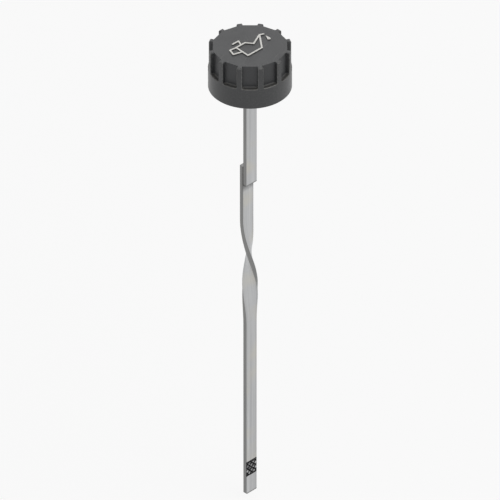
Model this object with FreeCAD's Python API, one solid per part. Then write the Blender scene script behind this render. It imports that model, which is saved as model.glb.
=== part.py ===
import FreeCAD, Part
import math
import os

from FreeCAD import Vector

os.makedirs("parts", exist_ok=True)

# Driving dimensions in millimetres and degrees.
# The origin is on the cap's axis, in the plane where the neck's end seats on the seal; +Z is up.

# Screw cap
cap_height = 25.0
top_wall = 3.0
thread_root_diameter = 33.4
wall_behind_pockets = 2.7
mouth_chamfer = 0.8
rim_chamfer = 0.3
top_edge_round = 0.8

# Grip pockets round the cap
pocket_count = 12
pocket_mouth_width = 8.4
pocket_depth = 2.6
pocket_foot_round = 0.8
pocket_edge_chamfer = 0.35
band_height = 12.0
first_pocket_angle = 15.0

# Boss in the middle of the cap, which holds the hanger bar
boss_diameter = 14.0
boss_drop = 12.0
boss_root_chamfer = 1.2
boss_end_chamfer = 0.6
slot_clearance = 0.1
boss_floor = 1.5

# Seal ring under the top wall
seal_thickness = 2.0
seal_width = 5.1
seal_edge_clearance = 0.1

# Hanger bar
bar_width = 8.0
bar_thickness = 2.5
bar_reach_below_cap = 61.8
bar_end_round = 0.6

# Gauge strip
strip_width = 8.0
strip_thickness = 2.5
lap_length = 11.5
twist_start_below_cap = 85.0
twist_length = 66.0
twist_angle = 180.0
twist_sections = 24
shift_length = 30.0
strip_reach_below_cap = 262.0
strip_end_round = 0.6
edge_break = 0.25

# Level zone near the tip: crossed grooves between two straight ones, cut in the face that is read
zone_height = 9.6
zone_above_tip = 11.4
groove_pitch = 2.2
groove_width = 0.9
groove_depth = 0.25
groove_slant = 45.0

# Marks of the two spot welds on the back of the lap
weld_mark_diameter = 3.4
weld_mark_depth = 0.18
weld_spacing = 5.0

# Roll pin through the boss and the bar
pin_diameter = 3.0
pin_wall = 0.5
pin_gap = 0.6
pin_end_chamfer = 0.3
pin_depth_below_seat = 6.0
pin_hole_clearance = 0.02
pin_end_inset = 0.3

# Raised oil-can sign on the cap's top. Its points are in hundredths of its width, from the cap's axis
sign_width = 25.0
sign_relief = 0.5
sign_line = 0.9
can_base_left = (-30, -24)
can_base_right = (11, -24)
can_top_left = (-27, 14)
can_top_right = (-1, 14)
spout_root = (10, -1)
spout_tip = (42, 14)
spout_lip = (50, 10)
handle_top = (-43, 16)
handle_back = (-49, 0)
handle_foot = (-29, -6)
knob_left = (-23, 28)
knob_right = (-6, 28)
knob_foot = (-13, 14)
drop_point = (49, 3)
drop_centre = (46, -10)
drop_radius = 0.95

# Heights that follow from the sizes above
cut_margin = 1.0
seal_top_z = seal_thickness
cap_top_z = seal_top_z + top_wall
rim_z = cap_top_z - cap_height
ledge_z = rim_z + band_height
bar_top_z = seal_top_z - boss_floor
bar_bottom_z = rim_z - bar_reach_below_cap
strip_top_z = bar_bottom_z + lap_length
twist_top_z = rim_z - twist_start_below_cap
twist_bottom_z = twist_top_z - twist_length
tip_z = rim_z - strip_reach_below_cap
zone_bottom_z = tip_z + zone_above_tip
zone_top_z = zone_bottom_z + zone_height

# Sideways places: the bar is centred on the axis and the strip lies against its back
bore_radius = thread_root_diameter / 2
pocket_floor = bore_radius + wall_behind_pockets
cap_radius = pocket_floor + pocket_depth
seal_radius = bore_radius - seal_edge_clearance
upper_strip_y = (bar_thickness + strip_thickness) / 2

UP = Vector(0, 0, 1)
BACK = Vector(0, 1, 0)


def cylinder_between(radius, low_z, high_z):
    return Part.makeCylinder(radius, high_z - low_z, Vector(0, 0, low_z))


def box_between(low, high):
    size = Vector(*high) - Vector(*low)
    return Part.makeBox(size.x, size.y, size.z, Vector(*low))


def circle_edges_at(shape, z, radius):
    """Circular edges round the Z axis at one height and radius."""
    found = []
    for edge in shape.Edges:
        if edge.Degenerated or not isinstance(edge.Curve, Part.Circle):
            continue
        same_height = abs(edge.Curve.Center.z - z) < 1e-4
        same_radius = abs(edge.Curve.Radius - radius) < 1e-4
        if same_height and same_radius:
            found.append(edge)
    return found


def pocket_tool():
    """What one grip pocket takes away: radial sides, a flat floor and a rounded foot."""
    slope = math.tan(math.asin(pocket_mouth_width / 2 / cap_radius))
    outside = cap_radius + cut_margin
    corners = [
        Vector(pocket_floor, -pocket_floor * slope, ledge_z),
        Vector(pocket_floor, pocket_floor * slope, ledge_z),
        Vector(outside, outside * slope, ledge_z),
        Vector(outside, -outside * slope, ledge_z),
    ]
    outline = Part.makePolygon(corners + corners[:1])
    tool = Part.Face(outline).extrude(Vector(0, 0, cap_top_z + cut_margin - ledge_z))
    foot = []
    for edge in tool.Edges:
        centre = edge.CenterOfMass
        if abs(centre.z - ledge_z) < 1e-6 and centre.x < outside - cut_margin / 2:
            foot.append(edge)
    return tool.makeFillet(pocket_foot_round, foot)


def pocket_edges(shape):
    """The edges where the pockets break out through the cap's round side, up to the top edge's round."""
    found = []
    highest = cap_top_z - top_edge_round
    for edge in shape.Edges:
        box = edge.BoundBox
        beside_pocket = box.ZMin > ledge_z - 1e-3 and box.ZMax < highest + 1e-3
        if edge.Degenerated or not beside_pocket:
            continue
        radii = [math.hypot(point.x, point.y) for point in edge.discretize(5)]
        if max(abs(radius - cap_radius) for radius in radii) < 1e-3:
            found.append(edge)
    return found


def cap_shell():
    """The cap's outside with its grip pockets, as a solid plug."""
    plug = cylinder_between(cap_radius, rim_z, cap_top_z)
    plug = plug.makeFillet(top_edge_round, circle_edges_at(plug, cap_top_z, cap_radius))
    plug = plug.makeChamfer(rim_chamfer, circle_edges_at(plug, rim_z, cap_radius))
    first = pocket_tool()
    pockets = []
    for index in range(pocket_count):
        pocket = first.copy()
        pocket.rotate(Vector(0, 0, 0), UP, first_pocket_angle + index * 360 / pocket_count)
        pockets.append(pocket)
    plug = plug.cut(pockets)
    return plug.makeChamfer(pocket_edge_chamfer, pocket_edges(plug))


def boss():
    """The round boss under the top wall, reaching into the wall so that the two join."""
    body = cylinder_between(boss_diameter / 2, -boss_drop, seal_top_z + top_wall / 2)
    return body.makeChamfer(boss_end_chamfer, circle_edges_at(body, -boss_drop, boss_diameter / 2))


def roll_pin_hole():
    """The cross hole that the roll pin sits in, through the boss and the bar."""
    length = boss_diameter + 2 * cut_margin
    start = Vector(0, -length / 2, -pin_depth_below_seat)
    return Part.makeCylinder(pin_diameter / 2 + pin_hole_clearance, length, start, BACK)


def sign_place(point):
    """A sign point in millimetres, on the plane z = 0."""
    return Vector(point[0], point[1], 0) * (sign_width / 100)


def stroke(points):
    """A raised line through the points, with round ends and corners, standing on z = 0."""
    places = [sign_place(point) for point in points]
    height = sign_height()
    pieces = [Part.makeCylinder(sign_line / 2, height, place) for place in places]
    for start, end in zip(places, places[1:]):
        along = end - start
        bar = Part.makeBox(along.Length, sign_line, height, Vector(0, -sign_line / 2, 0))
        bar.rotate(Vector(0, 0, 0), UP, math.degrees(math.atan2(along.y, along.x)))
        bar.translate(start)
        pieces.append(bar)
    return pieces


def drop():
    """A filled drop: a round foot with two flanks that run up to its point."""
    centre = sign_place(drop_centre)
    point = sign_place(drop_point)
    reach = point - centre
    across = Vector(-reach.y, reach.x, 0).normalize() * drop_radius
    flank = Part.makePolygon([centre + across, point, centre - across, centre + across])
    foot = Part.makeCylinder(drop_radius, sign_height(), centre)
    return [foot, Part.Face(flank).extrude(Vector(0, 0, sign_height()))]


def sign_height():
    """The sign's lines reach down into the top wall, so that they join it."""
    return sign_relief + top_wall / 4


def sign():
    """The common oil-can sign in raised lines: body, spout, handle, filler knob and drop."""
    body = [can_base_left, can_base_right, spout_tip, spout_root, can_top_right, can_top_left, can_base_left]
    pieces = stroke(body)
    pieces += stroke([spout_tip, spout_lip])
    pieces += stroke([can_top_left, handle_top, handle_back, handle_foot])
    pieces += stroke([knob_left, knob_right, knob_foot])
    pieces += drop()
    for piece in pieces:
        piece.translate(Vector(0, 0, cap_top_z + sign_relief - sign_height()))
    return pieces


def make_cap():
    """Moulded screw cap: one piece with grip pockets, bore, boss and sign."""
    cap = cap_shell()
    cap = cap.cut(cylinder_between(bore_radius, rim_z - cut_margin, seal_top_z))
    cap = cap.fuse(boss())
    cap = cap.makeChamfer(boss_root_chamfer, circle_edges_at(cap, seal_top_z, boss_diameter / 2))
    cap = cap.makeChamfer(mouth_chamfer, circle_edges_at(cap, rim_z, bore_radius))
    half_width = bar_width / 2 + slot_clearance
    half_thickness = bar_thickness / 2 + slot_clearance
    slot = box_between((-half_width, -half_thickness, -boss_drop - cut_margin),
                       (half_width, half_thickness, bar_top_z + slot_clearance))
    cap = cap.cut([slot, roll_pin_hole()])
    return cap.fuse(sign()).removeSplitter()


def make_seal_ring():
    """Flat rubber ring between the cap's top wall and the neck's end."""
    outer = cylinder_between(seal_radius, 0, seal_top_z)
    hole = cylinder_between(seal_radius - seal_width, -cut_margin, seal_top_z + cut_margin)
    return outer.cut(hole)


def section(width, thickness, z):
    """The outline of flat steel across its length, with its four long edges broken."""
    x = width / 2
    y = thickness / 2
    b = edge_break
    right = [(x - b, -y), (x, b - y), (x, y - b), (x - b, y)]
    left = [(-across, -along) for across, along in right]
    corners = right + left
    points = [Vector(corner[0], corner[1], z) for corner in corners]
    return Part.makePolygon(points + points[:1])


def flat_steel(width, thickness, middle_y, low_z, high_z):
    """A straight length of flat steel with square ends."""
    bar = Part.Face(section(width, thickness, low_z)).extrude(Vector(0, 0, high_z - low_z))
    bar.translate(Vector(0, middle_y, 0))
    return bar


def end_corner(side, z, direction, radius, width, thickness, middle_y):
    """What rounding one corner of a bar's end takes away; direction points out of the end."""
    depth = thickness + 2 * cut_margin
    x = side * width / 2
    reach = radius + cut_margin
    block = Part.makeBox(reach, depth, reach)
    low_x = x - radius if side > 0 else x - cut_margin
    low_z = z - radius if direction > 0 else z - cut_margin
    block.translate(Vector(low_x, middle_y - depth / 2, low_z))
    centre = Vector(x - side * radius, middle_y - depth / 2, z - direction * radius)
    return block.cut(Part.makeCylinder(radius, depth, centre, BACK))


def end_corners(z, direction, radius, width, thickness, middle_y):
    return [end_corner(side, z, direction, radius, width, thickness, middle_y) for side in (-1, 1)]


def make_hanger_bar():
    """Flat steel bar that hangs from the boss and carries the strip on its back."""
    bar = flat_steel(bar_width, bar_thickness, 0, bar_bottom_z, bar_top_z)
    cuts = end_corners(bar_bottom_z, -1, bar_end_round, bar_width, bar_thickness, 0)
    return bar.cut(cuts + [roll_pin_hole()])


def eased(share):
    """A ramp with soft ends: 0 up to the start, 1 from the end on."""
    inside = min(max(share, 0), 1)
    return inside * inside * (3 - 2 * inside)


def twisted_stretch():
    """Half a turn about the strip's own middle, which comes forward into line with the bar meanwhile."""
    wires = []
    for index in range(twist_sections + 1):
        share = index / twist_sections
        depth = share * twist_length
        middle_y = upper_strip_y * (1 - eased(depth / shift_length))
        wire = section(strip_width, strip_thickness, 0)
        wire.rotate(Vector(0, 0, 0), UP, twist_angle * eased(share))
        wire.translate(Vector(0, middle_y, twist_top_z - depth))
        wires.append(wire)
    return Part.makeLoft(wires, True, False)


def level_groove(offset, slant):
    """What one V-shaped groove takes away, off the zone's middle by the offset and turned by the slant."""
    face_y = -strip_thickness / 2
    reach = math.hypot(strip_width, zone_height) / 2 + cut_margin
    rise = cut_margin / 2
    spread = groove_width / 2 * (1 + rise / groove_depth)
    corners = [
        Vector(-reach, face_y - rise, offset - spread),
        Vector(-reach, face_y - rise, offset + spread),
        Vector(-reach, face_y + groove_depth, offset),
    ]
    groove = Part.Face(Part.makePolygon(corners + corners[:1])).extrude(Vector(2 * reach, 0, 0))
    groove.rotate(Vector(0, 0, 0), BACK, slant)
    groove.translate(Vector(0, 0, (zone_top_z + zone_bottom_z) / 2))
    return groove


def level_grooves():
    """The level zone over the strip's whole width: a straight groove at each end and crossed ones between."""
    line_inset = groove_width / 2
    half_width = strip_width / 2 + cut_margin
    between_lines = box_between((-half_width, -strip_thickness / 2 - cut_margin, zone_bottom_z + line_inset),
                                (half_width, 0, zone_top_z - line_inset))
    line_offset = zone_height / 2 - line_inset
    grooves = [level_groove(-line_offset, 0), level_groove(line_offset, 0)]
    rows = math.ceil(math.hypot(strip_width, zone_height) / 2 / groove_pitch)
    for slant in (-groove_slant, groove_slant):
        for row in range(-rows, rows + 1):
            crossed = level_groove(row * groove_pitch, slant).common(between_lines)
            grooves.append(crossed)
    return grooves


def weld_marks():
    """The shallow round marks that the welding tips leave on the back of the lap."""
    ball_radius = (weld_mark_diameter ** 2 / 4 + weld_mark_depth ** 2) / (2 * weld_mark_depth)
    back_y = upper_strip_y + strip_thickness / 2
    middle_z = strip_top_z - lap_length / 2
    marks = []
    for side in (-1, 1):
        centre = Vector(0, back_y + ball_radius - weld_mark_depth, middle_z + side * weld_spacing / 2)
        marks.append(Part.makeSphere(ball_radius, centre))
    return marks


def make_gauge_strip():
    """Flat steel strip with half a turn in it and the level zone near its tip."""
    upper = flat_steel(strip_width, strip_thickness, upper_strip_y, twist_top_z, strip_top_z)
    top_cuts = end_corners(strip_top_z, 1, strip_end_round, strip_width, strip_thickness, upper_strip_y)
    upper = upper.cut(top_cuts + weld_marks())
    lower = flat_steel(strip_width, strip_thickness, 0, tip_z, twist_bottom_z)
    tip_cuts = end_corners(tip_z, -1, strip_end_round, strip_width, strip_thickness, 0)
    lower = lower.cut(tip_cuts)
    for groove in level_grooves():
        lower = lower.cut(groove)
    return upper.fuse([twisted_stretch(), lower])


def make_roll_pin():
    """Rolled spring-steel pin: a tube with a gap along it, flush in the boss."""
    length = boss_diameter - 2 * pin_end_inset
    outer_radius = pin_diameter / 2
    body = Part.makeCylinder(outer_radius, length)
    ends = [edge for edge in body.Edges if isinstance(edge.Curve, Part.Circle)]
    body = body.makeChamfer(pin_end_chamfer, ends)
    hole = Part.makeCylinder(outer_radius - pin_wall, length + 2 * cut_margin, Vector(0, 0, -cut_margin))
    gap = box_between((0, -pin_gap / 2, -cut_margin),
                      (outer_radius + cut_margin, pin_gap / 2, length + cut_margin))
    pin = body.cut([hole, gap])
    pin.rotate(Vector(0, 0, 0), Vector(1, 0, 0), -90)
    pin.translate(Vector(0, -length / 2, -pin_depth_below_seat))
    return pin


def single_solid(shape, name):
    """The one solid in the shape, which has to be there and valid."""
    solids = shape.Solids
    if len(solids) != 1 or not solids[0].isValid():
        raise ValueError(f"{name}: {len(solids)} solids, valid {[solid.isValid() for solid in solids]}")
    return solids[0]


pieces = {
    "cap": make_cap(),
    "seal_ring": make_seal_ring(),
    "hanger_bar": make_hanger_bar(),
    "gauge_strip": make_gauge_strip(),
    "roll_pin": make_roll_pin(),
}

for name, shape in pieces.items():
    solid = single_solid(shape, name)
    solid.exportStep(f"parts/{name}.step")
    box = solid.BoundBox
    print(f"{name}: {len(solid.Faces)} faces, {solid.Volume:.1f} mm3, "
          f"z {box.ZMin:.2f} to {box.ZMax:.2f}")
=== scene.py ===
import math

import bmesh
import bpy
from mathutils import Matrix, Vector


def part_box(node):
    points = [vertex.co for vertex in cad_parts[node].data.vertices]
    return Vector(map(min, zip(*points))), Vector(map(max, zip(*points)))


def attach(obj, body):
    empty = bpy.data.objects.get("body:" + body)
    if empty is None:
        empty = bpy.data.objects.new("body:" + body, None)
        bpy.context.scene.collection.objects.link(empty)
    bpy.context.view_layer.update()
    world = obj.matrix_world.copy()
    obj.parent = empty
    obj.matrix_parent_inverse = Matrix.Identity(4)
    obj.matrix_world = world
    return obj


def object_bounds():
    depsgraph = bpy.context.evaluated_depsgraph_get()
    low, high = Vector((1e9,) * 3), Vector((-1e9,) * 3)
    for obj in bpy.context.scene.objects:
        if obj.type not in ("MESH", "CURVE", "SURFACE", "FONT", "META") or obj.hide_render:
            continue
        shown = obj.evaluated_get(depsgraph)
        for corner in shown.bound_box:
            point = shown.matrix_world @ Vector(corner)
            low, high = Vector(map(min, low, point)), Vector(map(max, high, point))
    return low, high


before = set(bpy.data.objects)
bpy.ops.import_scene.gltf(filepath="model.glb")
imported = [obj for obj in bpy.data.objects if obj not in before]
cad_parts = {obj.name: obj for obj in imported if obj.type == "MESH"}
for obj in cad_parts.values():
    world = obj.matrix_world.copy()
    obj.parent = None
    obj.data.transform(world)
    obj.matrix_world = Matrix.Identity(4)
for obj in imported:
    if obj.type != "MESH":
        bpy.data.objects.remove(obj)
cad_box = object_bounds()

bpy.context.scene.view_settings.view_transform = "Standard"

# Camera. The picture looks down on the cap from the front left with almost no perspective, so
# a very long lens stands far back. It aims at a point on the cap's axis, just above mid height.
picture_azimuth = math.radians(-45.0)
picture_elevation = math.radians(34.88)
picture_distance = 5.873
picture_lens = 800
picture_clip_end = 20
aim_point = Vector((0.0, 0.0, -0.12488))
look = Vector((
    -math.sin(picture_azimuth) * math.cos(picture_elevation),
    math.cos(picture_azimuth) * math.cos(picture_elevation),
    -math.sin(picture_elevation),
))


def add_object(name, data):
    """An object for a camera, a lamp or a mesh, linked into the scene."""
    made = bpy.data.objects.new(name, data)
    bpy.context.scene.collection.objects.link(made)
    return made


def aim(thing, place, along):
    """Puts a camera or a lamp at a place and turns it to look along a direction."""
    thing.location = place
    thing.rotation_mode = "QUATERNION"
    thing.rotation_quaternion = along.to_track_quat("-Z", "Y")


camera_data = bpy.data.cameras.new("camera")
camera_data.lens = picture_lens
camera_data.clip_end = picture_clip_end
camera = add_object("camera", camera_data)
aim(camera, aim_point - look * picture_distance, look)
bpy.context.scene.camera = camera

# Floor and backdrop. A white sheet lies just under the strip's tip, and white paper stands all
# round. The camera and polished surfaces see both as white, and the sheet keeps the soft shadow.
# The sheet is clear from below.
floor_gap = 0.004
floor_half_width = 4.0
floor_whiteness = 0.85
sheet_colour = (0.90, 0.90, 0.90, 1)
plain_white = (1, 1, 1, 1)
seen_strength = 1.0
backdrop_light = 0.38


def new_node(owner, kind, inputs=None, **settings):
    """A shader node with its settings, and its inputs from plain values or other outputs."""
    made = owner.node_tree.nodes.new(kind)
    for name, value in settings.items():
        setattr(made, name, value)
    for socket, value in (inputs or {}).items():
        if isinstance(value, bpy.types.NodeSocket):
            owner.node_tree.links.new(value, made.inputs[socket])
        else:
            made.inputs[socket].default_value = value
    return made


def calculate(owner, operation, first, second=0.0):
    """One step of arithmetic on numbers or on other nodes' outputs."""
    return new_node(owner, "ShaderNodeMath", {0: first, 1: second},
                    operation=operation).outputs[0]


def mix_shaders(owner, share, first, second):
    """A mix of two shader nodes."""
    return new_node(owner, "ShaderNodeMixShader",
                    {0: share, 1: first.outputs[0], 2: second.outputs[0]})


def seen_as_background(owner):
    """1 for rays from the camera and from gloss or glass, and 0 for the rest."""
    path = new_node(owner, "ShaderNodeLightPath")
    share = calculate(owner, "MAXIMUM", path.outputs["Is Camera Ray"],
                      path.outputs["Is Glossy Ray"])
    return calculate(owner, "MAXIMUM", share, path.outputs["Is Transmission Ray"])


def new_material(name):
    """A node material that is still empty."""
    material = bpy.data.materials.new(name)
    material.use_nodes = True
    material.node_tree.nodes.clear()
    return material


def give_surface(material, shader):
    """Makes a shader node the surface of its material."""
    new_node(material, "ShaderNodeOutputMaterial", {"Surface": shader.outputs[0]})


def mesh_object(name, shape, material):
    """An object at the origin whose mesh is a finished bmesh, all of one material."""
    mesh = bpy.data.meshes.new(name)
    shape.to_mesh(mesh)
    shape.free()
    mesh.materials.append(material)
    return add_object(name, mesh)


sheet = new_material("white_sheet")
lit = new_node(sheet, "ShaderNodeBsdfDiffuse", {"Color": sheet_colour})
white = new_node(sheet, "ShaderNodeEmission", {"Color": plain_white, "Strength": seen_strength})
clear = new_node(sheet, "ShaderNodeBsdfTransparent")
whiteness = calculate(sheet, "MULTIPLY", seen_as_background(sheet), floor_whiteness)
top_side = mix_shaders(sheet, whiteness, lit, white)
from_below = new_node(sheet, "ShaderNodeNewGeometry").outputs["Backfacing"]
give_surface(sheet, mix_shaders(sheet, from_below, top_side, clear))

shape = bmesh.new()
bmesh.ops.create_grid(shape, x_segments=1, y_segments=1, size=floor_half_width)
bmesh.ops.translate(shape, verts=shape.verts, vec=(0, 0, cad_box[0].z - floor_gap))
floor = mesh_object("floor", shape, sheet)

world = bpy.data.worlds.new("white_paper")
world.use_nodes = True
world.node_tree.nodes.clear()
paper_light = new_node(world, "ShaderNodeBackground",
                       {"Color": plain_white, "Strength": backdrop_light})
paper_white = new_node(world, "ShaderNodeBackground",
                       {"Color": plain_white, "Strength": seen_strength})
paper = mix_shaders(world, seen_as_background(world), paper_light, paper_white)
new_node(world, "ShaderNodeOutputWorld", {"Surface": paper.outputs[0]})
bpy.context.scene.world = world

# Lamps. A large soft box to the front right lights the wide faces of the steel, a weaker one to
# the front left lifts the narrow edges, and one behind gives the cap's top and edges their sheen.


def soft_box(name, place, side, power):
    """A square area lamp at a place, turned to the point that the camera aims at."""
    data = bpy.data.lights.new(name, "AREA")
    data.shape = "SQUARE"
    data.size = side
    data.energy = power
    aim(add_object(name, data), place, aim_point - Vector(place))


soft_box("key_lamp", place=(0.45, -1.25, 1.0), side=2.0, power=12.0)
soft_box("fill_lamp", place=(-1.5, -0.4, 0.7), side=1.4, power=3.5)
soft_box("back_lamp", place=(1.0, 1.0, 1.0), side=1.8, power=8.0)

# Screw cap. One moulding in black glass-filled nylon, with a fine matt grain and faint fibre
# flecks. Hands have polished its ribs and rubbed its outer edges paler, its top is scratched,
# dust lies on the feet of the grip pockets, and the crest of the raised sign is painted white.
cap_low, cap_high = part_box("cap")
cap_round_radius = cap_high.x
crown_depth = 0.0004
sign_height = 0.0005
sign_paint_depth = 0.0002
sign_paint_edge = 0.0001

cap_colour = (0.024, 0.025, 0.027, 1)
cap_cloud_colour = (0.036, 0.037, 0.039, 1)
cap_cloud_scale = 150.0
cap_fleck_colour = (0.085, 0.085, 0.082, 1)
cap_fleck_scale = 2600.0
cap_fleck_range = (0.66, 0.74)
cap_fleck_strength = 0.5
cap_rubbed_colour = (0.075, 0.075, 0.074, 1)
cap_rubbed_scale = 1600.0
cap_rubbed_range = (0.45, 0.75)
cap_rubbed_least = 0.10
cap_rubbed_most = 0.55
cap_edge_colour = (0.135, 0.134, 0.130, 1)
cap_edge_width = 0.0004
cap_edge_from_crown = 0.00003
cap_edge_scale = 700.0
cap_edge_range = (0.38, 0.62)
cap_edge_least = 0.25
cap_edge_most = 0.85
cap_roughness = (0.40, 0.56)
crown_polish = 0.10
edge_polish = 0.12
nylon_ior = 1.5
cap_grain_scale = 3200.0
cap_grain_depth = 0.00004
sign_paint_colour = (0.80, 0.79, 0.75, 1)
sign_paint_worn_colour = (0.62, 0.61, 0.58, 1)
sign_wear_scale = 900.0
sign_wear_range = (0.45, 0.75)
scratch_colour = (0.095, 0.095, 0.093, 1)
scratch_scale = 1500.0
scratch_stretch = 35.0
scratch_turns = (0.4, 1.9, 2.7)
scratch_range = (0.68, 0.74)
scratch_strength = 0.5
scratch_patch_range = (0.42, 0.60)
scratch_reach = 0.0020
foot_from_radius = 0.0180
foot_below_top = 0.0020
foot_edge = 0.0005
foot_slope_range = (0.25, 0.85)
foot_dust_colour = (0.125, 0.120, 0.110, 1)
foot_dust_scale = 650.0
foot_dust_range = (0.35, 0.65)
foot_dust_least = 0.15
foot_dust_most = 0.60
foot_dust_roughness = 0.75


def object_place(material):
    """The place of each point on the part, in metres."""
    return new_node(material, "ShaderNodeTexCoord").outputs["Object"]


def split(material, vector):
    """The X, Y and Z of a vector."""
    return new_node(material, "ShaderNodeSeparateXYZ", {0: vector}).outputs


def axis_distance(material, place):
    """How far each point is from the cap's axis."""
    flat_place = new_node(material, "ShaderNodeVectorMath", {0: place, 1: (1, 1, 0)},
                          operation="MULTIPLY").outputs[0]
    return new_node(material, "ShaderNodeVectorMath", {0: flat_place},
                    operation="LENGTH").outputs["Value"]


def mapped(material, place, scale, turn=0.0, kind="POINT"):
    """The places to read a pattern at, scaled and turned about Z."""
    return new_node(material, "ShaderNodeMapping",
                    {"Vector": place, "Rotation": (0, 0, turn), "Scale": scale},
                    vector_type=kind).outputs[0]


def noise(material, place, scale, detail=3.0):
    """An even grey noise whose lumps are about one part in scale of a metre."""
    return new_node(material, "ShaderNodeTexNoise",
                    {"Vector": place, "Scale": scale, "Detail": detail}).outputs["Fac"]


def ramp(material, value, start, end, low=0.0, high=1.0, shape="LINEAR"):
    """Low where a value is at start, high where it is at end, a slope between, flat beyond."""
    return new_node(material, "ShaderNodeMapRange",
                    {"Value": value, "From Min": start, "From Max": end,
                     "To Min": low, "To Max": high},
                    interpolation_type=shape).outputs["Result"]


def patches(material, place, scale, limits, least=0.0, most=1.0, detail=3.0):
    """Uneven patches: least where the noise is under its limits, and most where it is over."""
    return ramp(material, noise(material, place, scale, detail), *limits, least, most)


def product(material, *shares):
    """Several shares multiplied together."""
    result = shares[0]
    for share in shares[1:]:
        result = calculate(material, "MULTIPLY", result, share)
    return result


def is_colour(value):
    """Whether a value is a colour, plain or another node's output, and not a number."""
    return isinstance(value, tuple) or getattr(value, "type", "") == "RGBA"


def blend_of(material, share, first, second):
    """A mix of two colours or two numbers, each of them plain or another node's output."""
    if is_colour(first) or is_colour(second):
        return new_node(material, "ShaderNodeMix", {0: share, 6: first, 7: second},
                        data_type="RGBA").outputs[2]
    return new_node(material, "ShaderNodeMix", {0: share, 2: first, 3: second},
                    data_type="FLOAT").outputs[0]


def layered(material, base, *layers):
    """A base colour or number with layers over it, each a share and its own colour or number."""
    for share, value in layers:
        base = blend_of(material, share, base, value)
    return base


def bumps(material, height, depth):
    """The surface's tilt from a height pattern, with its full depth in metres."""
    return new_node(material, "ShaderNodeBump",
                    {"Height": height, "Strength": 1.0, "Distance": depth}).outputs[0]


nylon = new_material("black_nylon")
place = object_place(nylon)
height = split(nylon, place)["Z"]
upward = split(nylon, new_node(nylon, "ShaderNodeTexCoord").outputs["Normal"])["Z"]
radius = axis_distance(nylon, place)
cloud = noise(nylon, place, cap_cloud_scale)
flecks = patches(nylon, place, cap_fleck_scale, cap_fleck_range,
                 most=cap_fleck_strength, detail=1.0)
crown = ramp(nylon, radius, cap_round_radius - crown_depth, cap_round_radius)
rubbed = product(
    nylon,
    crown,
    patches(nylon, place, cap_rubbed_scale, cap_rubbed_range,
            cap_rubbed_least, cap_rubbed_most, detail=5.0),
)
edges = product(
    nylon,
    patches(nylon, place, cap_edge_scale, cap_edge_range,
            cap_edge_least, cap_edge_most, detail=4.0),
    ramp(nylon, radius, cap_round_radius - 2 * cap_edge_width, cap_round_radius - cap_edge_width),
    ramp(nylon, radius, cap_round_radius - cap_edge_from_crown,
         cap_round_radius - 2 * cap_edge_from_crown),
)
scratches = 0.0
for turn in scratch_turns:
    turned_place = mapped(nylon, place, (1, scratch_stretch, 1), turn, kind="TEXTURE")
    fine_lines = patches(nylon, turned_place, scratch_scale, scratch_range,
                         most=scratch_strength, detail=2.0)
    scratches = calculate(nylon, "MAXIMUM", fine_lines, scratches)
scratches = product(
    nylon,
    scratches,
    ramp(nylon, height, cap_high.z - scratch_reach, cap_high.z - sign_height),
    ramp(nylon, cloud, *scratch_patch_range),
)
foot_z = cap_high.z - foot_below_top
dust = product(
    nylon,
    patches(nylon, place, foot_dust_scale, foot_dust_range,
            foot_dust_least, foot_dust_most, detail=4.0),
    ramp(nylon, upward, *foot_slope_range),
    ramp(nylon, radius, foot_from_radius - foot_edge, foot_from_radius),
    ramp(nylon, height, foot_z + foot_edge, foot_z),
)
paint_z = cap_high.z - sign_paint_depth
painted = ramp(nylon, height, paint_z, paint_z + sign_paint_edge)
worn = patches(nylon, place, sign_wear_scale, sign_wear_range)
paint = blend_of(nylon, worn, sign_paint_colour, sign_paint_worn_colour)
colour = layered(
    nylon,
    cap_colour,
    (cloud, cap_cloud_colour),
    (flecks, cap_fleck_colour),
    (rubbed, cap_rubbed_colour),
    (edges, cap_edge_colour),
    (scratches, scratch_colour),
    (dust, foot_dust_colour),
    (painted, paint),
)
rough = blend_of(nylon, cloud, *cap_roughness)
for share, polish in ((crown, crown_polish), (edges, edge_polish)):
    rough = calculate(nylon, "SUBTRACT", rough, product(nylon, share, polish))
rough = blend_of(nylon, dust, rough, foot_dust_roughness)
grain = noise(nylon, place, cap_grain_scale, detail=2.0)
give_surface(nylon, new_node(nylon, "ShaderNodeBsdfPrincipled", {
    "Base Color": colour,
    "Roughness": rough,
    "IOR": nylon_ior,
    "Normal": bumps(nylon, grain, cap_grain_depth),
}))
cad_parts["cap"].material_slots[0].material = nylon

# Thread ridge. The cap's inside thread is one right-handed ridge of eleven turns to the inch,
# moulded with the cap. It winds up the bore from near the mouth to just below the seal, and both
# its ends run out into the wall.
inch = 0.0254
turns_per_inch = 11
thread_pitch = inch / turns_per_inch
thread_turns = 7.4
thread_above_mouth = 0.00135
steps_per_turn = 72
bore_radius = 0.0167
wall_overlap = 0.00005
crest_radius = 0.0152
crest_round = 0.00013
crest_half_width = 0.00024
root_half_width = 0.00100
run_out_steps = 9
run_out_least = 0.02

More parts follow.
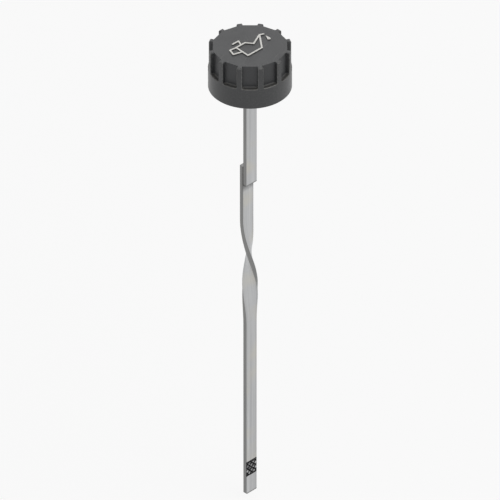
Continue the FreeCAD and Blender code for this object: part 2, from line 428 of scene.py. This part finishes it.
thread_start_z = cap_low.z + thread_above_mouth
root_radius = bore_radius + wall_overlap
ridge_profile = (
    (root_radius, -root_half_width),
    (crest_radius + crest_round, -crest_half_width),
    (crest_radius, 0.0),
    (crest_radius + crest_round, crest_half_width),
    (root_radius, root_half_width),
)
shape = bmesh.new()
corners = [shape.verts.new((across, 0, thread_start_z + up)) for across, up in ridge_profile]
loop = [shape.edges.new((corners[index - 1], corners[index])) for index in range(len(corners))]
step_count = round(thread_turns * steps_per_turn)
bmesh.ops.spin(shape, geom=corners + loop, cent=(0, 0, 0), axis=(0, 0, 1), steps=step_count,
               angle=2 * math.pi * thread_turns, dvec=(0, 0, thread_pitch / steps_per_turn))
bmesh.ops.holes_fill(shape, edges=shape.edges)
bmesh.ops.recalc_face_normals(shape, faces=shape.faces)
shape.verts.ensure_lookup_table()
for ring in range(step_count + 1):
    from_end = min(ring, step_count - ring)
    kept = max(run_out_least, min(1, from_end / run_out_steps))
    for vertex in shape.verts[ring * len(corners):(ring + 1) * len(corners)]:
        across = vertex.co.xy.length
        vertex.co.xy *= (root_radius - (root_radius - across) * kept) / across
for face in shape.faces:
    face.smooth = True
# The spin leaves its faces in another order on each run, so they are put in one.
shape.verts.index_update()
shape.faces.sort(key=lambda face: face.verts[0].index * len(shape.verts) + face.verts[1].index)
ridge = mesh_object("thread_ridge", shape, nylon)
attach(ridge, "root")

# Seal ring. A flat ring punched from black nitrile rubber sheet, dull and slightly dusty. It
# lies under the cap's top wall, and the neck's end has pressed a cleaner, smoother track in it.
rubber_colour = (0.016, 0.016, 0.016, 1)
rubber_dust_colour = (0.055, 0.054, 0.052, 1)
rubber_dust_scale = 700.0
rubber_dust_range = (0.35, 0.80)
rubber_roughness = (0.62, 0.90)
rubber_ior = 1.52
rubber_grain_scale = 4000.0
rubber_grain_depth = 0.00002
neck_bore_radius = 0.0125
neck_track_edge = 0.0002
neck_track_dust_left = 0.25
neck_track_polish = 0.22

rubber = new_material("nitrile_rubber")
place = object_place(rubber)
track = ramp(rubber, axis_distance(rubber, place), neck_bore_radius - neck_track_edge,
             neck_bore_radius)
dust = product(
    rubber,
    patches(rubber, place, rubber_dust_scale, rubber_dust_range, detail=5.0),
    blend_of(rubber, track, 1.0, neck_track_dust_left),
)
rough = calculate(rubber, "SUBTRACT", blend_of(rubber, dust, *rubber_roughness),
                  product(rubber, track, neck_track_polish))
grain = noise(rubber, place, rubber_grain_scale)
give_surface(rubber, new_node(rubber, "ShaderNodeBsdfPrincipled", {
    "Base Color": blend_of(rubber, dust, rubber_colour, rubber_dust_colour),
    "Roughness": rough,
    "IOR": rubber_ior,
    "Normal": bumps(rubber, grain, rubber_grain_depth),
}))
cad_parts["seal_ring"].material_slots[0].material = rubber

# Hanger bar. Rolled flat steel, 8 by 2.5 mm, bright zinc plated, pinned in the cap's boss. Fine
# streaks run along its wide faces, and its sheared edges and ends are rougher and darker. Grime
# and painted shade darken the seam of the lap, where the strip is welded to it, and a painted
# shadow fades down the strip below the bar's end.
bar_low, bar_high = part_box("hanger_bar")
strip_low, strip_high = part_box("gauge_strip")
flat_half_width = bar_high.x
flat_half_thickness = bar_high.y
edge_break = 0.00025
edge_sheared_width = 0.00015
end_rim_width = 0.0009
end_sheared_width = 0.0003
lap_face_y = flat_half_thickness
lap_low_z = bar_low.z
lap_high_z = strip_high.z
seam_half_width = 0.00030
seam_shaded_half_width = 0.00021
# How far the painted shade reaches past the lap's ends: above the strip's top end, and down the
# strip below the bar's end as a painted shadow.
upper_grime_and_shade_width = 0.0016
lower_grime_and_shade_width = 0.0050

zinc_colour = (0.56, 0.565, 0.57, 1)
zinc_streak_colour = (0.42, 0.425, 0.43, 1)
zinc_streak_scale = 700.0
zinc_streak_range = (0.3, 0.7)
zinc_line_colour = (0.36, 0.365, 0.37, 1)
zinc_line_range = (0.45, 0.75)
zinc_line_strength = 0.5
zinc_straw_colour = (0.55, 0.52, 0.44, 1)
zinc_straw_scale = 60.0
zinc_straw_range = (0.5, 0.9)
zinc_roughness = (0.30, 0.44)
scuff_scale = 420.0
scuff_stretch = 0.2
scuff_range = (0.58, 0.72)
scuff_strength = 0.6
scuff_roughness = 0.55
rolling_scale = 5200.0
rolling_stretch = 0.008
rolling_depth = 0.000012
sheared_colour = (0.20, 0.20, 0.20, 1)
sheared_streak_colour = (0.27, 0.27, 0.265, 1)
sheared_streak_range = (0.3, 0.7)
sheared_roughness = 0.52
# Dirt and painted shade in the lap's seam and in the corners at its ends.
grime_and_shade_colour = (0.050, 0.047, 0.042, 1)
grime_and_shade_scale = 500.0
grime_and_shade_range = (0.3, 0.6)
grime_and_shade_least = 0.6
grime_and_shade_roughness = 0.8


def sheared_share(material, place, low_end, high_end):
    """1 on the narrow edges and the ends of flat steel, and 0 on its wide faces."""
    across, _, along = split(material, place)
    edge = ramp(material, calculate(material, "ABSOLUTE", across),
                flat_half_width - edge_break, flat_half_width - edge_sheared_width)
    low = ramp(material, along, low_end + end_rim_width, low_end + end_sheared_width)
    high = ramp(material, along, high_end - end_rim_width, high_end - end_sheared_width)
    return calculate(material, "MAXIMUM", edge, calculate(material, "MAXIMUM", low, high))


def lap_grime_and_painted_shade(material):
    """1 in the seam between bar and strip and in the corners at its two ends: dirt and painted
    shade.
    """
    place = object_place(material)
    _, depth, height = split(material, place)
    from_seam = calculate(material, "ABSOLUTE",
                          calculate(material, "SUBTRACT", depth, lap_face_y))
    return product(
        material,
        # Painted shade above the strip's top end, and a painted shadow fading down the strip below
        # the bar's end.
        ramp(material, height, lap_low_z - lower_grime_and_shade_width, lap_low_z),
        ramp(material, height, lap_high_z + upper_grime_and_shade_width, lap_high_z),
        patches(material, place, grime_and_shade_scale, grime_and_shade_range, least=grime_and_shade_least, detail=4.0),
        ramp(material, from_seam, seam_half_width, seam_shaded_half_width),
    )


def plated_steel(name, place_of, low_end, high_end, add_marks=None):
    """Zinc-plated flat steel for a piece whose width is along X and whose length is along Z."""
    material = new_material(name)
    place = place_of(material)
    long_place = mapped(material, place, (1, 1, rolling_stretch))
    wiped_place = mapped(material, place, (1, 1, scuff_stretch))
    fine = noise(material, long_place, rolling_scale, detail=4.0)
    streaks = patches(material, long_place, zinc_streak_scale, zinc_streak_range, detail=2.0)
    lines = ramp(material, fine, *zinc_line_range, high=zinc_line_strength)
    straw = patches(material, place, zinc_straw_scale, zinc_straw_range, detail=1.0)
    scuffs = patches(material, wiped_place, scuff_scale, scuff_range,
                     most=scuff_strength, detail=6.0)
    edge = sheared_share(material, place, low_end, high_end)
    sheared = blend_of(material, ramp(material, fine, *sheared_streak_range),
                       sheared_colour, sheared_streak_colour)
    # Dirt and painted shade in the lap's seam, with a painted shadow below the bar's end.
    grime_and_shade = lap_grime_and_painted_shade(material)
    colour = layered(
        material,
        zinc_colour,
        (streaks, zinc_streak_colour),
        (lines, zinc_line_colour),
        (straw, zinc_straw_colour),
        (edge, sheared),
        (grime_and_shade, grime_and_shade_colour),
    )
    rough = layered(
        material,
        blend_of(material, fine, *zinc_roughness),
        (scuffs, scuff_roughness),
        (edge, sheared_roughness),
        (grime_and_shade, grime_and_shade_roughness),
    )
    if add_marks:
        colour, rough = add_marks(material, colour, rough)
    give_surface(material, new_node(material, "ShaderNodeBsdfPrincipled", {
        "Base Color": colour,
        "Metallic": 1.0,
        "Roughness": rough,
        "Normal": bumps(material, fine, rolling_depth),
    }))
    return material


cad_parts["hanger_bar"].material_slots[0].material = plated_steel(
    "bar_zinc", object_place, bar_low.z, bar_high.z)

# Gauge strip. The same flat steel, spot welded behind the bar, twisted cold by half a turn and
# brought into line with it. The crossed grooves of the level zone are blackened and the lands
# between wiped. On the back each weld left a pressed round mark in a blue and straw heat ring.
twist_below_mouth = 0.085
twist_length = 0.066
shift_length = 0.030
zone_above_tip = 0.0114
zone_height = 0.0096
zone_edge = 0.00001
groove_shade_depth = 0.00005
groove_black = (0.012, 0.012, 0.013, 1)
groove_roughness = 0.6
zone_stain_colour = (0.055, 0.055, 0.057, 1)
zone_stain_scale = 650.0
zone_stain_range = (0.36, 0.54)
zone_stain_strength = 0.92
weld_spacing = 0.005
weld_mark_radius = 0.0017
weld_blue_radius = 0.00187
weld_straw_radius = 0.002635
weld_heat_radius = 0.00391
weld_blue_colour = (0.22, 0.25, 0.34, 1)
weld_straw_colour = (0.46, 0.37, 0.24, 1)
weld_tint_strength = 0.75
weld_ring_wander = 0.0006
weld_wander_scale = 500.0
weld_wander_range = (0.25, 0.75)
weld_pressed_colour = (0.34, 0.34, 0.335, 1)
weld_pressed_pale_colour = (0.50, 0.50, 0.49, 1)
weld_pressed_scale = 2600.0
weld_pressed_roughness = 0.5
weld_rim_width = 0.00018
weld_rim_colour = (0.13, 0.125, 0.12, 1)
weld_rim_strength = 0.7

upper_strip_y = 2 * flat_half_thickness
back_face_y = upper_strip_y + flat_half_thickness
read_face_y = -flat_half_thickness
zone_from_y = read_face_y / 2
twist_top_z = cap_low.z - twist_below_mouth
zone_bottom_z = strip_low.z + zone_above_tip
zone_top_z = zone_bottom_z + zone_height
weld_middle_z = (lap_low_z + lap_high_z) / 2


def untwisted_place(material):
    """The place of each point as it was before the strip was twisted and shifted."""
    across, depth, height = split(material, object_place(material))
    shift = ramp(material, height, twist_top_z - shift_length, twist_top_z,
                 0.0, upper_strip_y, "SMOOTHSTEP")
    turn = ramp(material, height, twist_top_z - twist_length, twist_top_z,
                -math.pi, 0.0, "SMOOTHSTEP")
    centred = new_node(material, "ShaderNodeCombineXYZ",
                       {0: across, 1: calculate(material, "SUBTRACT", depth, shift), 2: height})
    return new_node(material, "ShaderNodeVectorRotate",
                    {"Vector": centred.outputs[0], "Angle": turn},
                    rotation_type="Z_AXIS").outputs[0]


def blackened_zone(material, colour, rough):
    """Adds the blackening: full in the grooves, and wiped unevenly off the lands between them."""
    place = object_place(material)
    across, depth, height = split(material, place)
    half_across = calculate(material, "ABSOLUTE", across)
    zone = product(
        material,
        ramp(material, depth, zone_from_y, zone_from_y - zone_edge),
        ramp(material, half_across, flat_half_width, flat_half_width - 2 * zone_edge),
        ramp(material, height, zone_bottom_z - zone_edge, zone_bottom_z),
        ramp(material, height, zone_top_z + zone_edge, zone_top_z),
    )
    below_face = calculate(material, "SUBTRACT", depth, read_face_y)
    from_side = calculate(material, "SUBTRACT", flat_half_width, half_across)
    groove = product(
        material,
        ramp(material, below_face, zone_edge, groove_shade_depth),
        ramp(material, calculate(material, "ADD", below_face, from_side),
             edge_break + zone_edge, edge_break + groove_shade_depth),
        zone,
    )
    left_on = patches(material, place, zone_stain_scale, zone_stain_range,
                      most=zone_stain_strength)
    stain = product(material, zone, left_on)
    colour = layered(material, colour, (stain, zone_stain_colour), (groove, groove_black))
    return colour, blend_of(material, groove, rough, groove_roughness)


def weld_marks(material, colour, rough):
    """Adds each spot weld's pressed round face, its rim and the heat ring round it."""
    place = object_place(material)
    wander = patches(material, place, weld_wander_scale, weld_wander_range,
                     -weld_ring_wander / 2, weld_ring_wander / 2)
    pressed_colour = blend_of(material, noise(material, place, weld_pressed_scale),
                              weld_pressed_colour, weld_pressed_pale_colour)
    rim_inside = weld_mark_radius - weld_rim_width
    for side in (-1, 1):
        centre = (0, back_face_y, weld_middle_z + side * weld_spacing / 2)
        distance = new_node(material, "ShaderNodeVectorMath", {0: place, 1: centre},
                            operation="DISTANCE").outputs["Value"]
        uneven = calculate(material, "ADD", distance, wander)
        blue = ramp(material, uneven, weld_straw_radius, weld_blue_radius)
        tint = blend_of(material, blue, weld_straw_colour, weld_blue_colour)
        heated = ramp(material, uneven, weld_heat_radius, weld_mark_radius,
                      high=weld_tint_strength)
        pressed = ramp(material, distance, weld_mark_radius, rim_inside)
        rim = product(
            material,
            ramp(material, distance, rim_inside - weld_rim_width, rim_inside,
                 high=weld_rim_strength),
            pressed,
        )
        colour = layered(material, colour, (heated, tint), (pressed, pressed_colour),
                         (rim, weld_rim_colour))
        rough = blend_of(material, pressed, rough, weld_pressed_roughness)
    return colour, rough


def zone_and_welds(material, colour, rough):
    """Adds the level zone and the weld marks to plated steel."""
    return weld_marks(material, *blackened_zone(material, colour, rough))


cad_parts["gauge_strip"].material_slots[0].material = plated_steel(
    "strip_zinc", untwisted_place, strip_low.z, strip_high.z, zone_and_welds)

# Roll pin. Spring steel strip rolled into a split tube, hardened and oiled, and driven through
# the boss and the bar from front to back.
spring_colour = (0.26, 0.26, 0.265, 1)
spring_pale_colour = (0.40, 0.395, 0.38, 1)
spring_roughness = (0.25, 0.45)
spring_streak_scale = 4000.0
spring_streak_stretch = 0.05

spring = new_material("oiled_spring_steel")
long_place = mapped(spring, object_place(spring), (1, spring_streak_stretch, 1))
rolled = noise(spring, long_place, spring_streak_scale)
give_surface(spring, new_node(spring, "ShaderNodeBsdfPrincipled", {
    "Base Color": blend_of(spring, rolled, spring_colour, spring_pale_colour),
    "Metallic": 1.0,
    "Roughness": blend_of(spring, rolled, *spring_roughness),
}))
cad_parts["roll_pin"].material_slots[0].material = spring
